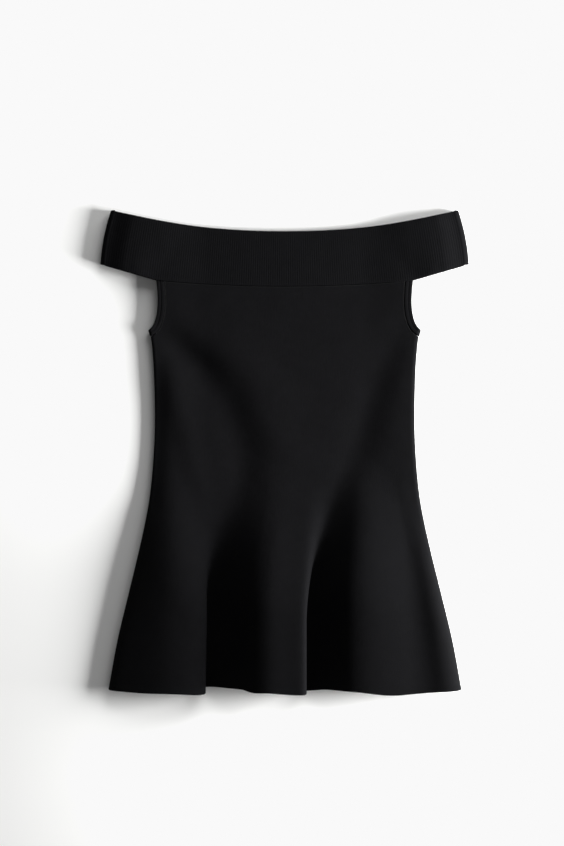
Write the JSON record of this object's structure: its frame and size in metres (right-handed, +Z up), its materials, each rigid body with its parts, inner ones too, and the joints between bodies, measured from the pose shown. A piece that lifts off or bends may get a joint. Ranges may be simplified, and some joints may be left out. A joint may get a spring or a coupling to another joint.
{
  "type": "peplum top",
  "caption": "Off-the-shoulder knit top with a folded shoulder band and a fluted peplum hem, laid flat on its back.",
  "frame": {"origin": "middle of the top's outline, on the surface that it lies on", "axes": "+X across the front, towards the right of a viewer who looks at it; +Y from the hem to the neckline; +Z up from the surface, out of the front of the top"},
  "size_m": [0.4604, 0.6036, 0.0445],
  "materials": {
    "compact_knit": "matt black compact viscose knit with a fine vertical wale",
    "rib_knit": "matt black fine rib knit, doubled",
    "binding_knit": "matt black knitted binding with two fine lines along it"
  },
  "bodies": {
    "root": {"front_panel": "compact_knit", "back_panel": "compact_knit", "shoulder_band": "rib_knit", "armhole_binding_left": "binding_knit", "armhole_binding_right": "binding_knit"}
  },
  "joints": []
}
